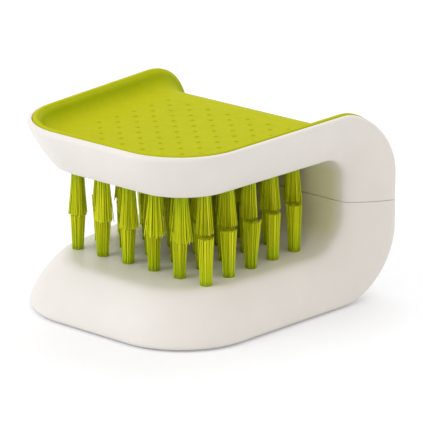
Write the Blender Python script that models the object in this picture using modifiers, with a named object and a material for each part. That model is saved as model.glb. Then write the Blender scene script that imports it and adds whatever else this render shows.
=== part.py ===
"""Cutlery brush: a C-shaped body whose two arms hold facing fields of bristles, in metres, +Z up.

The origin is on the table under the middle of the brush, the mouth faces -Y and the spine stands at +Y.
The body is a loft along the letter C. Each station joins a point of the mouth's lining to a point of the
outer rim, and the wall between them swells outwards as a superellipse does.
"""

import math
import random

import bmesh
import bpy
import numpy as np
from mathutils import Matrix, Vector

MM = 0.001

# Lengths from front to back
BODY_LENGTH = 92.0 * MM
MOUTH_SETBACK = 9.0 * MM
BED_SETBACK = 10.8 * MM
RIM_SETBACK = 0.5 * MM
SPINE_DEPTH = 14.7 * MM

# Heights, from the table up
FOOT_HEIGHT = 0.6 * MM
BASE_HEIGHT = 15.3 * MM
MOUTH_HEIGHT = 29.9 * MM
ARM_HEIGHT = 14.8 * MM

# Half widths: the spine's own, how far the others draw in from it, and how each tapers to its front
BACK_HALF = 46.5 * MM
HEEL_DRAW = 2.2 * MM
SHOULDER_DRAW = 5.3 * MM
WALL_DRAW = 10.3 * MM
BASE_TAPER = 6.4 * MM
RIM_TAPER = 3.5 * MM
MOUTH_TAPER = 5.8 * MM
BED_TAPER = 6.3 * MM

# Corners seen from above, and curves seen from the side
MOUTH_CORNER = 15.7 * MM
BED_CORNER = 18.7 * MM
RIM_CORNER = 22.2 * MM
BASE_CORNER = 23.7 * MM
UPPER_FILLET = 7.7 * MM
LOWER_FILLET = 12.1 * MM
SHOULDER_RADIUS = 20.7 * MM
HEEL_RADIUS = 22.0 * MM

# Roundings of the outer edges
RIM_EDGE = 1.0 * MM
BACK_EDGE = 2.5 * MM
BASE_EDGE = 1.2 * MM

# Superellipse exponents of the wall: 1 is straight and 2 is an ellipse
ARM_SWELL = 1.16
SPINE_SWELL = 1.2
BASE_SWELL = 1.34

# Clearance between pieces that touch, and how far a cutter runs past its face
GAP = 0.3 * MM
OVERRUN = 4.0 * MM

# Grip in its tray
RIM_THICKNESS = 1.8 * MM
TRAY_BACK_DRAW = 3.0 * MM
TRAY_DEPTH = 5.5 * MM
TRAY_FILLET = 5.2 * MM
TRAY_END_ABOVE_SEAM = 4.0 * MM
TRAY_END_CORNER = 14.0 * MM
INNER_COLUMN_SHARE = 0.8
GRIP_THICKNESS = 1.8 * MM
GRIP_PROUD = 0.4 * MM
PEG_RADIUS = 2.0 * MM
PEG_LENGTH = 2.5 * MM
PEG_HALF_SPACING = 20.0 * MM
PEG_FRONT_INSET = 20.0 * MM
PEG_STEP = 34.0 * MM

# Bristles
PITCH = 10.5 * MM
FIELD_SIDE_MARGIN = 4.0 * MM
FIELD_FRONT_MARGIN = 9.1 * MM
FIELD_BACK_MARGIN = 5.0 * MM
STRAND_PITCH = 1.2 * MM
STRAND_ROOT = 0.42 * MM
STRAND_TIP = 0.28 * MM
STRANDS_IN_RING = 6
RING_TURN_SHARE = 0.25
LOWER_TUFT_LENGTH = 15.3 * MM
UPPER_TUFT_LENGTH = 16.3 * MM
LOWER_FLARE = 0.45 * MM
UPPER_FLARE = 1.1 * MM
STRAND_STRAY = 0.2 * MM
STRAND_UNEVEN = 0.35 * MM
STRIP_WIDTH = 4.4 * MM
STRIP_THICKNESS = 2.0 * MM
STRIP_END = 0.6 * MM
STRAND_SEED = 7

# Hollow base and its cover
DECK_THICKNESS = 5.5 * MM
HOLLOW_INSET = 8.0 * MM
HOLLOW_BACK_CORNER = 6.0 * MM
RIB_THICKNESS = 8.0 * MM
COVER_THICKNESS = 2.0 * MM
COVER_PEG_RADIUS = 2.0 * MM
COVER_PEG_LENGTH = 4.5 * MM
COVER_BOSS_RADIUS = 4.2 * MM
COVER_BOSS_INSET = 11.0 * MM

# Spine pocket and the two screws that clamp the halves
WALL_THICKNESS = 2.8 * MM
POCKET_FLOOR = 17.0 * MM
SCREW_HALF_SPACING = 22.0 * MM
SCREW_OFFSET = 4.6 * MM
SCREW_RADIUS = 1.25 * MM
SCREW_HEAD_RADIUS = 2.5 * MM
SCREW_HEAD_HEIGHT = 1.8 * MM
SCREW_GRIP = 6.0 * MM
SCREW_BITE = 9.0 * MM
SCREW_POINT = 1.6 * MM
RECESS_WIDTH = 0.7 * MM
RECESS_LENGTH = 2.8 * MM
RECESS_DEPTH = 1.0 * MM
BOSS_RADIUS = 4.0 * MM
SPIGOT_RADIUS = 2.6 * MM
SPIGOT_HEIGHT = 2.0 * MM

# Fineness of the curves
CORNER_STEPS = 7
ARM_STEPS = 3
SHOULDER_STEPS = 9
BACK_STEPS = 2
WALL_STEPS = 6
EDGE_STEPS = 3
FILLET_STEPS = 4
ROUND_SIDES = 20
ROW_STEP = 0.7 * MM
STRAND_SIDES = 4
SHARP_ANGLE = math.radians(35)

# Places worked out from the sizes
BASE_FRONT_Y = -BODY_LENGTH / 2
BACK_Y = BODY_LENGTH / 2 - GRIP_PROUD
MOUTH_FRONT_Y = BASE_FRONT_Y + MOUTH_SETBACK
BED_FRONT_Y = BASE_FRONT_Y + BED_SETBACK
RIM_FRONT_Y = BASE_FRONT_Y + RIM_SETBACK
WALL_Y = BACK_Y - SPINE_DEPTH
SHOULDER_Y = BACK_Y - SHOULDER_RADIUS
HEEL_Y = BACK_Y - HEEL_RADIUS
BED_Z = FOOT_HEIGHT + BASE_HEIGHT
UNDERSIDE_Z = BED_Z + MOUTH_HEIGHT
TOP_Z = UNDERSIDE_Z + ARM_HEIGHT
SEAM_Z = BED_Z + MOUTH_HEIGHT / 2
DECK_UNDER_Z = BED_Z - DECK_THICKNESS
HOLLOW_BACK_Y = WALL_Y - RIB_THICKNESS
SCREW_Y = WALL_Y + SCREW_OFFSET
TRAY_FALL = TRAY_DEPTH + GRIP_PROUD
HEEL_HALF = BACK_HALF - HEEL_DRAW
SHOULDER_HALF = BACK_HALF - SHOULDER_DRAW
WALL_HALF = BACK_HALF - WALL_DRAW
TRAY_BACK_HALF = BACK_HALF - TRAY_BACK_DRAW
BEYOND = (BACK_HALF + BODY_LENGTH) * 2

WHITE_PLASTIC = ((0.86, 0.83, 0.77, 1.0), 0.38, 0.0)
GREEN_RUBBER = ((0.56, 0.61, 0.03, 1.0), 0.62, 0.0)
GREEN_NYLON = ((0.36, 0.44, 0.01, 1.0), 0.45, 0.0)
STEEL = ((0.62, 0.62, 0.60, 1.0), 0.32, 1.0)


def clear_scene():
    for obj in list(bpy.data.objects):
        bpy.data.objects.remove(obj, do_unlink=True)


def collection(name):
    made = bpy.data.collections.new(name)
    bpy.context.scene.collection.children.link(made)
    return made


clear_scene()
PARTS = collection("cutlery_brush")
CUTTERS = collection("cutters")


def material(name, finish):
    colour, roughness, metallic = finish
    made = bpy.data.materials.new(name + "_finish")
    made.use_nodes = True
    shader = made.node_tree.nodes["Principled BSDF"]
    shader.inputs["Base Color"].default_value = colour
    shader.inputs["Roughness"].default_value = roughness
    shader.inputs["Metallic"].default_value = metallic
    made.diffuse_color = colour
    return made


def piece(name, mesh, finish):
    """An object that is a part of the brush."""
    obj = bpy.data.objects.new(name, mesh)
    mesh.materials.append(material(name, finish))
    PARTS.objects.link(obj)
    return obj


def cutter(name, mesh):
    """A helper that cuts or joins a part and isn't one itself."""
    obj = bpy.data.objects.new(name, mesh)
    obj.hide_render = True
    obj.display_type = "WIRE"
    CUTTERS.objects.link(obj)
    return obj


def combine(target, other, operation):
    modifier = target.modifiers.new(operation.lower() + "_" + other.name, "BOOLEAN")
    modifier.operation = operation
    modifier.solver = "EXACT"
    modifier.object = other


def cut(target, other):
    combine(target, other, "DIFFERENCE")


def join(target, other):
    combine(target, other, "UNION")


def mesh_from(name, points, faces):
    mesh = bpy.data.meshes.new(name)
    mesh.from_pydata([tuple(point) for point in points], [], faces)
    work = bmesh.new()
    work.from_mesh(mesh)
    bmesh.ops.triangulate(work, faces=work.faces)
    bmesh.ops.recalc_face_normals(work, faces=work.faces)
    work.to_mesh(mesh)
    work.free()
    mesh.shade_smooth()
    mesh.set_sharp_from_angle(angle=SHARP_ANGLE)
    return mesh


def box_mesh(name, low, high):
    low, high = Vector(low), Vector(high)
    work = bmesh.new()
    bmesh.ops.create_cube(work, size=1.0)
    bmesh.ops.scale(work, vec=high - low, verts=work.verts)
    bmesh.ops.translate(work, vec=(low + high) / 2, verts=work.verts)
    mesh = bpy.data.meshes.new(name)
    work.to_mesh(mesh)
    work.free()
    return mesh


def posts(name, places, radius, low, high):
    """A helper of upright round posts of one radius, from low to high, one at each place."""
    work = bmesh.new()
    for x, y in places:
        bmesh.ops.create_cone(
            work,
            cap_ends=True,
            segments=ROUND_SIDES,
            radius1=radius,
            radius2=radius,
            depth=high - low,
            matrix=Matrix.Translation((x, y, (low + high) / 2)),
        )
    mesh = bpy.data.meshes.new(name)
    work.to_mesh(mesh)
    work.free()
    return cutter(name, mesh)


def slab_mesh(name, upper, lower):
    """A closed solid between two grids of points of the same shape, rows by columns."""
    rows, columns = upper.shape[:2]
    index = np.arange(rows * columns).reshape(rows, columns)
    below = index + rows * columns
    faces = []
    for row in range(rows - 1):
        for column in range(columns - 1):
            near, far = slice(row, row + 2), slice(column, column + 2)
            a, b, c, d = index[near, far].ravel()
            faces.append((a, b, d, c))
            a, b, c, d = below[near, far].ravel()
            faces.append((a, c, d, b))
    border = [*index[0, :-1], *index[:-1, -1], *index[-1, :0:-1], *index[:0:-1, 0]]
    for start, end in zip(border, border[1:] + border[:1]):
        faces.append((start, start + rows * columns, end + rows * columns, end))
    points = np.concatenate([upper.reshape(-1, 3), lower.reshape(-1, 3)])
    return mesh_from(name, points, [tuple(int(i) for i in face) for face in faces])


def along(y, start_y, start, end_y, end):
    """A half width that grows evenly from start to end."""
    return start + (end - start) * (y - start_y) / (end_y - start_y)


def mouth_half(y):
    return along(y, MOUTH_FRONT_Y, WALL_HALF - MOUTH_TAPER, WALL_Y, WALL_HALF)


def bed_half(y):
    return along(y, BED_FRONT_Y, WALL_HALF - BED_TAPER, WALL_Y, WALL_HALF)


def rim_half(y):
    return along(y, RIM_FRONT_Y, SHOULDER_HALF - RIM_TAPER, SHOULDER_Y, SHOULDER_HALF)


def base_half(y):
    return along(y, BASE_FRONT_Y, HEEL_HALF - BASE_TAPER, HEEL_Y, HEEL_HALF)


def rounded_front(front_y, half_at, radius, steps=CORNER_STEPS):
    """Rows (y, half width) through a rounded front corner, from the front edge to where the side begins."""
    turn = np.linspace(0, math.pi / 2, steps + 1)
    y = front_y + radius * (1 - np.cos(turn))
    return y, half_at(y) - radius * (1 - np.sin(turn))


def straight(start, end, steps):
    """Points between two ends, which other stretches hold."""
    return np.linspace(start, end, steps + 2)[1:-1]


def arm_stations(arm):
    """Half of the letter C, from the tip of an arm to the end of its curve at the spine.

    Rows: inner y, z and half width, outer y, z and half width, the outward normal's turn from the arm's
    own outward direction, the wall's exponent and the radius of the outer edge.
    """
    inner_y, inner_half = rounded_front(arm["inner_front_y"], arm["inner_half_at"], arm["inner_corner"])
    outer_y, outer_half = rounded_front(arm["front_y"], arm["half_at"], arm["corner"])
    fillet, radius = arm["fillet"], arm["radius"]
    arm_inner = straight(inner_y[-1], WALL_Y - fillet, ARM_STEPS)
    arm_outer = straight(outer_y[-1], BACK_Y - radius, ARM_STEPS)
    turn = np.linspace(0, math.pi / 2, SHOULDER_STEPS + 1)
    level = np.zeros(len(inner_y) + ARM_STEPS)
    bend = WALL_Y - fillet * (1 - np.sin(turn))
    swing = np.sin(turn) ** 2
    shoulder_half = arm["half_at"](BACK_Y - radius)
    rise = np.concatenate([level, 1 - np.cos(turn)])
    swing_all = np.concatenate([level, swing])
    return np.array([
        np.concatenate([inner_y, arm_inner, bend]),
        arm["inner_z"] - arm["out"] * fillet * rise,
        np.concatenate([inner_half, arm["inner_half_at"](arm_inner), arm["inner_half_at"](bend)]),
        np.concatenate([outer_y, arm_outer, BACK_Y - radius * (1 - np.sin(turn))]),
        arm["outer_z"] - arm["out"] * radius * rise,
        np.concatenate([
            outer_half,
            arm["half_at"](arm_outer),
            shoulder_half + (BACK_HALF - shoulder_half) * swing,
        ]),
        np.concatenate([level, turn]),
        arm["swell"] + (SPINE_SWELL - arm["swell"]) * swing_all,
        arm["edge"] + (BACK_EDGE - arm["edge"]) * swing_all,
    ])


UPPER_ARM = {
    "front_y": RIM_FRONT_Y,
    "half_at": rim_half,
    "corner": RIM_CORNER,
    "inner_front_y": MOUTH_FRONT_Y,
    "inner_half_at": mouth_half,
    "inner_corner": MOUTH_CORNER,
    "fillet": UPPER_FILLET,
    "radius": SHOULDER_RADIUS,
    "inner_z": UNDERSIDE_Z,
    "outer_z": TOP_Z,
    "out": 1,
    "swell": ARM_SWELL,
    "edge": RIM_EDGE,
}
LOWER_ARM = {
    "front_y": BASE_FRONT_Y,
    "half_at": base_half,
    "corner": BASE_CORNER,
    "inner_front_y": BED_FRONT_Y,
    "inner_half_at": bed_half,
    "inner_corner": BED_CORNER,
    "fillet": LOWER_FILLET,
    "radius": HEEL_RADIUS,
    "inner_z": BED_Z,
    "outer_z": FOOT_HEIGHT,
    "out": -1,
    "swell": BASE_SWELL,
    "edge": BASE_EDGE,
}


def body_stations():
    """Stations along the whole C, from the tip of the upper arm to the tip of the base."""
    upper = arm_stations(UPPER_ARM)
    lower = arm_stations(LOWER_ARM)[:, ::-1]
    lower[6] = math.pi - lower[6]
    share = np.linspace(0, 1, BACK_STEPS + 2)[1:-1]
    back = upper[:, -1:] + (lower[:, :1] - upper[:, -1:]) * share
    return np.concatenate([upper, back, lower], axis=1)


def body_mesh(name):
    """The whole C as one loft, its wall a superellipse from the mouth's edge to the rim."""
    iy, iz, iw, oy, oz, ow, normal, swell, edge = body_stations()[:, :, None]
    quarter = np.linspace(0, math.pi / 2, WALL_STEPS + 1)[None]
    out_y, out_z = np.sin(normal), np.cos(normal)
    height = (oy - iy) * out_y + (oz - iz) * out_z
    slide = (oy - iy) * out_z - (oz - iz) * out_y
    spread = np.hypot(ow - iw, slide)
    rise = (1 - np.clip(np.cos(quarter), 0, 1) ** (2 / swell)) * (1 - edge / height)
    reach = np.sin(quarter) ** (2 / swell)
    curl = np.linspace(0, math.pi / 2, EDGE_STEPS + 1)[None, 1:]
    rise = np.concatenate([rise, 1 - edge / height * (1 - np.sin(curl))], axis=1)
    reach = np.concatenate([reach, 1 - edge / spread * (1 - np.cos(curl))], axis=1)
    x = iw + (ow - iw) * reach
    y = iy + out_y * height * rise + out_z * slide * reach
    z = iz + out_z * height * rise - out_y * slide * reach
    right = np.stack([x, y, z], axis=2)
    left = right[:, ::-1] * (-1, 1, 1)
    rings = np.concatenate([right, left], axis=1)
    stations, around = rings.shape[:2]
    index = np.arange(stations * around).reshape(stations, around)
    ahead = np.roll(index, -1, axis=1)
    faces = [
        (index[i, j], ahead[i, j], ahead[i + 1, j], index[i + 1, j])
        for i in range(stations - 1)
        for j in range(around)
    ]
    for end in (index[0], index[-1]):
        faces += [(end[k], end[k + 1], end[-k - 2], end[-k - 1]) for k in range(around // 2 - 1)]
    return mesh_from(name, rings.reshape(-1, 3), [tuple(int(i) for i in face) for face in faces])


def half_body(name, cut_low, cut_high):
    """The body's upper or lower half: the whole C less all that lies between two heights."""
    body = piece(name, body_mesh(name), WHITE_PLASTIC)
    rest = box_mesh(name + "_rest", (-BEYOND, -BEYOND, cut_low), (BEYOND, BEYOND, cut_high))
    cut(body, cutter(name + "_rest", rest))
    return body


def rim_path(s):
    """The rim's line at a length s from its front: y, z, turn and the half width that the tray follows."""
    level = SHOULDER_Y - RIM_FRONT_Y
    bend = SHOULDER_RADIUS * math.pi / 2
    turn = np.clip((s - level) / SHOULDER_RADIUS, 0, math.pi / 2)
    down = np.maximum(s - level - bend, 0)
    y = RIM_FRONT_Y + np.minimum(s, level) + SHOULDER_RADIUS * np.sin(turn)
    z = TOP_Z - SHOULDER_RADIUS * (1 - np.cos(turn)) - down
    half = rim_half(np.minimum(y, SHOULDER_Y)) + (TRAY_BACK_HALF - SHOULDER_HALF) * np.sin(turn) ** 2
    return y, z, turn, half


def spaced(values, least):
    """The sorted values with both ends kept and none closer to another than least."""
    kept = [values[0]]
    for value in values[1:-1]:
        if value - kept[-1] > least and values[-1] - value > least:
            kept.append(value)
    return np.array([*kept, values[-1]])


def tray_surface(inset, sink):
    """The dished surface of the tray, as rows from its front to its end at the back of the spine.

    The outline lies inset from the rim's line and has rounded corners at both ends. The depth at a point
    follows its distance to the outline: it falls as a parabola over the fillet and is flat further in.
    On a short row the columns draw together, so that the two sides never cross.
    """
    outside = RIM_THICKNESS - inset
    bend = SHOULDER_Y - RIM_FRONT_Y + SHOULDER_RADIUS * np.linspace(0, math.pi / 2, SHOULDER_STEPS + 1)
    start = inset
    end = bend[-1] + TOP_Z - SHOULDER_RADIUS - SEAM_Z - TRAY_END_ABOVE_SEAM + outside
    front_corner = RIM_CORNER - inset
    end_corner = TRAY_END_CORNER + outside
    turn = np.linspace(0, math.pi / 2, CORNER_STEPS + 1)
    lip = TRAY_FILLET * np.linspace(0, 1, FILLET_STEPS + 1)
    s = np.concatenate([
        start + front_corner * (1 - np.cos(turn)),
        start + lip,
        bend[(bend > start + front_corner) & (bend < end - end_corner)],
        end - lip,
        end - end_corner * (1 - np.cos(turn)),
    ])
    s = spaced(np.sort(s), ROW_STEP)[:, None]
    half = rim_path(s)[3] - inset
    front = np.clip(start + front_corner - s, 0, None)
    back = np.clip(s - end + end_corner, 0, None)
    corner = np.where(front > 0, front_corner, end_corner)
    past = front + back
    narrow = corner - np.sqrt(np.clip(corner**2 - past**2, 0, None))
    row_half = half - narrow
    columns = np.append(lip, 2 * TRAY_FILLET)[None]
    x = row_half - columns * np.minimum(1, INNER_COLUMN_SHARE * row_half / columns[:, -1:])
    x = np.concatenate([x, -x[:, ::-1]], axis=1)
    aside = np.clip(np.abs(x) - half + corner, 0, None)
    distance = np.where(past > 0, corner - np.hypot(past, aside), half - np.abs(x))
    share = np.clip((distance - outside) / TRAY_FILLET, 0, 1)
    depth = TRAY_FALL * (1 - (1 - share) ** 2) + sink
    y, z, turn, _ = rim_path(s)
    return np.stack([x, y - depth * np.sin(turn), z - depth * np.cos(turn)], axis=2)


def peg_places():
    front = RIM_FRONT_Y + PEG_FRONT_INSET
    return [(side * PEG_HALF_SPACING, front + step * PEG_STEP) for side in (-1, 1) for step in (0, 1)]


def thumb_grip():
    """Soft pad that fills the tray, held by pegs in its floor."""
    top = tray_surface(RIM_THICKNESS, -GRIP_PROUD)
    under = tray_surface(RIM_THICKNESS, GRIP_THICKNESS - GRIP_PROUD)
    grip = piece("thumb_grip", slab_mesh("thumb_grip", top, under), GREEN_RUBBER)
    floor = TOP_Z - TRAY_DEPTH - GRIP_THICKNESS
    join(grip, posts("grip_pegs", peg_places(), PEG_RADIUS, floor - PEG_LENGTH, floor + GRIP_THICKNESS / 2))


def tray_cutter():
    """What the grip needs cut from the upper body, open outwards."""
    under = tray_surface(RIM_THICKNESS - GAP, GRIP_THICKNESS - GRIP_PROUD + GAP)
    above = tray_surface(RIM_THICKNESS - GAP, -TRAY_FALL - OVERRUN)
    return cutter("tray_cutter", slab_mesh("tray_cutter", above, under))


def tuft_fields():
    """Tuft centres, by row, on the bed and on the arm's underside, which sit half a pitch apart."""
    first_y = MOUTH_FRONT_Y + FIELD_FRONT_MARGIN
    depth = WALL_Y - FIELD_BACK_MARGIN - first_y
    width = 2 * (mouth_half(first_y) - FIELD_SIDE_MARGIN)
    rows, columns = int(depth / PITCH), int(width / PITCH) + 1
    lower = [
        [((i - (columns - 1) / 2) * PITCH, first_y + (j + 0.5) * PITCH) for i in range(columns)]
        for j in range(rows)
    ]
    upper = [
        [((i - (columns - 2) / 2) * PITCH, first_y + j * PITCH) for i in range(columns - 1)]
        for j in range(rows + 1)
    ]
    return lower, upper


def strip_box(name, row, seat_z, out, clearance):
    """The slice of the deck that holds one row of tufts, or with a clearance the slot for it."""
    half_width = STRIP_WIDTH / 2 + clearance
    reach = STRIP_WIDTH / 2 + STRIP_END + clearance
    face_z = seat_z + out * OVERRUN * (clearance > 0)
    root_z = seat_z - out * (STRIP_THICKNESS + clearance)
    low = (row[0][0] - reach, row[0][1] - half_width, min(face_z, root_z))
    high = (row[-1][0] + reach, row[0][1] + half_width, max(face_z, root_z))
    return box_mesh(name, low, high)


def strand_mesh(name, row, seat_z, out, length, flare, chance):
    """Every strand of one row: each a slender four-sided cone that leans away from its tuft's middle."""
    work = bmesh.new()
    spots = [(0.0, 0.0)]
    for k in range(STRANDS_IN_RING):
        angle = 2 * math.pi * (k + RING_TURN_SHARE) / STRANDS_IN_RING
        spots.append((math.cos(angle), math.sin(angle)))
    for x, y in row:
        for across, along_y in spots:
            root = Vector((x + across * STRAND_PITCH, y + along_y * STRAND_PITCH, seat_z))
            root.z -= out * STRIP_THICKNESS / 2
            stray = Vector((chance.uniform(-1, 1), chance.uniform(-1, 1), 0)) * STRAND_STRAY
            tip = root + Vector((across, along_y, 0)) * flare + stray
            tip.z = seat_z + out * (length - chance.uniform(0, 1) * STRAND_UNEVEN)
            lean = tip - root
            turn = Vector((0, 0, 1)).rotation_difference(lean).to_matrix().to_4x4()
            bmesh.ops.create_cone(
                work,
                cap_ends=True,
                segments=STRAND_SIDES,
                radius1=STRAND_ROOT,
                radius2=STRAND_TIP,
                depth=lean.length,
                matrix=Matrix.Translation((root + tip) / 2) @ turn,
            )
    mesh = bpy.data.meshes.new(name)
    work.to_mesh(mesh)
    work.free()
    return mesh


def tuft_rows(label, field, body, seat_z, out, length, flare, chance):
    """One piece for each row of tufts, and its slot in the body that holds it."""
    for number, row in enumerate(field, start=1):
        name = f"{label}_tuft_row_{number}"
        strip = piece(name, strip_box(name, row, seat_z, out, 0.0), GREEN_NYLON)
        strands = strand_mesh(name + "_strands", row, seat_z, out, length, flare, chance)
        join(strip, cutter(name + "_strands", strands))
        cut(body, cutter(name + "_slot", strip_box(name + "_slot", row, seat_z, out, GAP)))


def base_outline(inset, back_y, back_corner):
    """Rows (y, half width) of a plate inside the base, rounded at the front and at its back corners."""
    front_y, corner = BASE_FRONT_Y + inset, BASE_CORNER - inset
    near_y, near_half = rounded_front(front_y, lambda y: base_half(y) - inset, corner)
    turn = np.linspace(0, math.pi / 2, CORNER_STEPS + 1)
    far_y = back_y - back_corner * (1 - np.sin(turn))
    far_half = base_half(far_y) - inset - back_corner * (1 - np.cos(turn))
    return np.append(near_y, far_y), np.append(near_half, far_half)


def plate_mesh(name, outline, low, high):
    y, half = outline
    edges = np.stack([np.stack([side * half, y], axis=1) for side in (1, -1)], axis=1)
    upper, lower = (np.dstack([edges, np.full(edges.shape[:2], z)]) for z in (high, low))
    return slab_mesh(name, upper, lower)


def cover_posts():
    """Places of the four posts that hold the base cover."""
    front = BASE_FRONT_Y + HOLLOW_INSET + COVER_BOSS_INSET
    back = HOLLOW_BACK_Y - COVER_BOSS_RADIUS - HOLLOW_INSET
    inset = HOLLOW_INSET + COVER_BOSS_INSET
    return [(side * (base_half(y) - inset), y) for y in (front, back) for side in (-1, 1)]


def screw_places():
    return [(side * SCREW_HALF_SPACING, SCREW_Y) for side in (-1, 1)]


def base_cover():
    """Plate that closes the hollow base, stands proud as the foot, and plugs into four bosses."""
    outline = base_outline(HOLLOW_INSET + GAP, HOLLOW_BACK_Y - GAP, HOLLOW_BACK_CORNER - GAP)
    plate = plate_mesh("base_cover", outline, 0.0, COVER_THICKNESS)
    cover = piece("base_cover", plate, WHITE_PLASTIC)
    top = COVER_THICKNESS + COVER_PEG_LENGTH
    join(cover, posts("cover_pegs", cover_posts(), COVER_PEG_RADIUS, COVER_THICKNESS / 2, top))


def lower_body(lower_field, chance):
    body = half_body("lower_body", SEAM_Z - GAP / 2, BEYOND)
    outline = base_outline(HOLLOW_INSET, HOLLOW_BACK_Y, HOLLOW_BACK_CORNER)
    cut(body, cutter("base_hollow", plate_mesh("base_hollow", outline, -OVERRUN, DECK_UNDER_Z)))
    foot = COVER_THICKNESS + GAP
    join(body, posts("cover_bosses", cover_posts(), COVER_BOSS_RADIUS, foot, BED_Z - DECK_THICKNESS / 2))
    end = foot + COVER_PEG_LENGTH
    cut(body, posts("cover_bores", cover_posts(), COVER_PEG_RADIUS + GAP, foot - GAP / 2, end))
    cut(body, spine_pocket())
    low, high = SEAM_Z - WALL_THICKNESS, SEAM_Z + SPIGOT_HEIGHT
    join(body, posts("spigots", screw_places(), SPIGOT_RADIUS, low, high))
    low = SEAM_Z - SCREW_BITE - SCREW_POINT
    cut(body, posts("pilots", screw_places(), SCREW_RADIUS + GAP, low, SEAM_Z + OVERRUN))
    tuft_rows("lower", lower_field, body, BED_Z, 1, LOWER_TUFT_LENGTH, LOWER_FLARE, chance)


def spine_pocket():
    """The hollow in the spine's lower half, open at the seam, with its two screw bosses left standing."""
    front_y = WALL_Y + WALL_THICKNESS
    back_y = BACK_Y - WALL_THICKNESS
    y = np.array([front_y, back_y])
    half = along(y, WALL_Y, WALL_HALF, BACK_Y, BACK_HALF) - WALL_THICKNESS
    pocket = cutter("spine_pocket", plate_mesh("spine_pocket", (y, half), POCKET_FLOOR, SEAM_Z + OVERRUN))
    low, high = POCKET_FLOOR - OVERRUN, SEAM_Z + 2 * OVERRUN
    cut(pocket, posts("screw_bosses", screw_places(), BOSS_RADIUS, low, high))
    return pocket


def upper_body(upper_field, chance):
    body = half_body("upper_body", -BEYOND, SEAM_Z + GAP / 2)
    cut(body, tray_cutter())
    floor = TOP_Z - TRAY_DEPTH - GRIP_THICKNESS - GAP
    cut(body, posts("peg_holes", peg_places(), PEG_RADIUS + GAP, floor - PEG_LENGTH, floor + GAP * 2))
    head_z = SEAM_Z + SCREW_GRIP
    cut(body, posts("screw_wells", screw_places(), SCREW_HEAD_RADIUS + GAP, head_z - GAP, TOP_Z))
    below = SEAM_Z - OVERRUN
    cut(body, posts("shank_bores", screw_places(), SCREW_RADIUS + GAP, below, head_z + GAP))
    top = SEAM_Z + SPIGOT_HEIGHT + GAP
    cut(body, posts("spigot_sockets", screw_places(), SPIGOT_RADIUS + GAP, below, top))
    tuft_rows("upper", upper_field, body, UNDERSIDE_Z, -1, UPPER_TUFT_LENGTH, UPPER_FLARE, chance)


def spine_screws():
    """Self-tapping screws under the grip: turned to one profile, with a cross recess in the head."""
    head_z = SEAM_Z + SCREW_GRIP
    tip_z = SEAM_Z - SCREW_BITE
    profile = [
        (0.0, head_z + SCREW_HEAD_HEIGHT),
        (SCREW_HEAD_RADIUS / 2, head_z + SCREW_HEAD_HEIGHT),
        (SCREW_HEAD_RADIUS, head_z + SCREW_HEAD_HEIGHT / 2),
        (SCREW_HEAD_RADIUS, head_z),
        (SCREW_RADIUS, head_z),
        (SCREW_RADIUS, tip_z + SCREW_POINT),
        (0.0, tip_z),
    ]
    for side, (x, y) in zip(("left", "right"), screw_places()):
        name = "spine_screw_" + side
        mesh = bpy.data.meshes.new(name)
        edges = [(i, i + 1) for i in range(len(profile) - 1)]
        mesh.from_pydata([(radius, 0, z) for radius, z in profile], edges, [])
        screw = piece(name, mesh, STEEL)
        screw.location = (x, y, 0)
        turning = screw.modifiers.new("turning", "SCREW")
        turning.steps = turning.render_steps = ROUND_SIDES
        turning.use_merge_vertices = True
        turning.merge_threshold = MM / 100
        turning.use_normal_calculate = True
        top = head_z + SCREW_HEAD_HEIGHT
        arms = ((RECESS_LENGTH, RECESS_WIDTH), (RECESS_WIDTH, RECESS_LENGTH))
        for number, (wide, deep) in enumerate(arms):
            low = (x - wide / 2, y - deep / 2, top - RECESS_DEPTH)
            high = (x + wide / 2, y + deep / 2, top + OVERRUN)
            slot = f"{name}_recess_{number}"
            cut(screw, cutter(slot, box_mesh(slot, low, high)))


def main():
    chance = random.Random(STRAND_SEED)
    lower_field, upper_field = tuft_fields()
    lower_body(lower_field, chance)
    upper_body(upper_field, chance)
    base_cover()
    thumb_grip()
    spine_screws()


main()
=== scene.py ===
"""The cutlery brush as its photograph shows it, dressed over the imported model.

The body is a loft along the letter C, split at a seam in the spine. Each half is worked out here with the
same sizes as its solid and many more stations. Every size is in millimetres, and meshes are made in metres.
"""

import logging
import math
from abc import ABC, abstractmethod
from dataclasses import dataclass
from enum import Enum

import bmesh
import bpy
import numpy as np
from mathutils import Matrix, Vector


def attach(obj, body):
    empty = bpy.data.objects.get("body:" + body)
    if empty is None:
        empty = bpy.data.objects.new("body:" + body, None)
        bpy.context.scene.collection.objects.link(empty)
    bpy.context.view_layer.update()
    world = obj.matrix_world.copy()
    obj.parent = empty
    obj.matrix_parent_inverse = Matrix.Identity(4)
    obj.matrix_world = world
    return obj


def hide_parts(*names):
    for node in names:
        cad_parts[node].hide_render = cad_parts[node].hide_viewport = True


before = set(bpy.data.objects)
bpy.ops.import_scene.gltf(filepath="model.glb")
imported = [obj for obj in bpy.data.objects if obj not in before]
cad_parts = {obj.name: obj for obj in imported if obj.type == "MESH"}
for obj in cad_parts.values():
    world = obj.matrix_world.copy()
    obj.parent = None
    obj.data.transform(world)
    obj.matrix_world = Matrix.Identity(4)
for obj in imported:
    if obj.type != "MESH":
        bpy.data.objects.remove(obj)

MM = 0.001
SEED = 11
WELD = 0.002
SHARP_DEGREES = 40.0
# Nearly all of a noise's values lie between these two.
NOISE_LOW = 0.3
NOISE_HIGH = 0.7
# The middle of a round corner lies this share of its radius off its centre, both ways.
MID_CORNER = math.sqrt(0.5)
# Over these distances, the painted shade that the bristles throw on the plastic, tinted green, grows to its
# full depth.
BRISTLE_SHADE_REACH_X = 5.0
BRISTLE_SHADE_REACH_Y = 26.0
BRISTLE_SHADE_REACH_Z = 6.0
Array = np.ndarray
Mesh = bpy.types.Mesh
Material = bpy.types.Material
Socket = bpy.types.NodeSocket
Colour = tuple[float, float, float, float]
WHITE: Colour = (1.0, 1.0, 1.0, 1.0)

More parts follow.
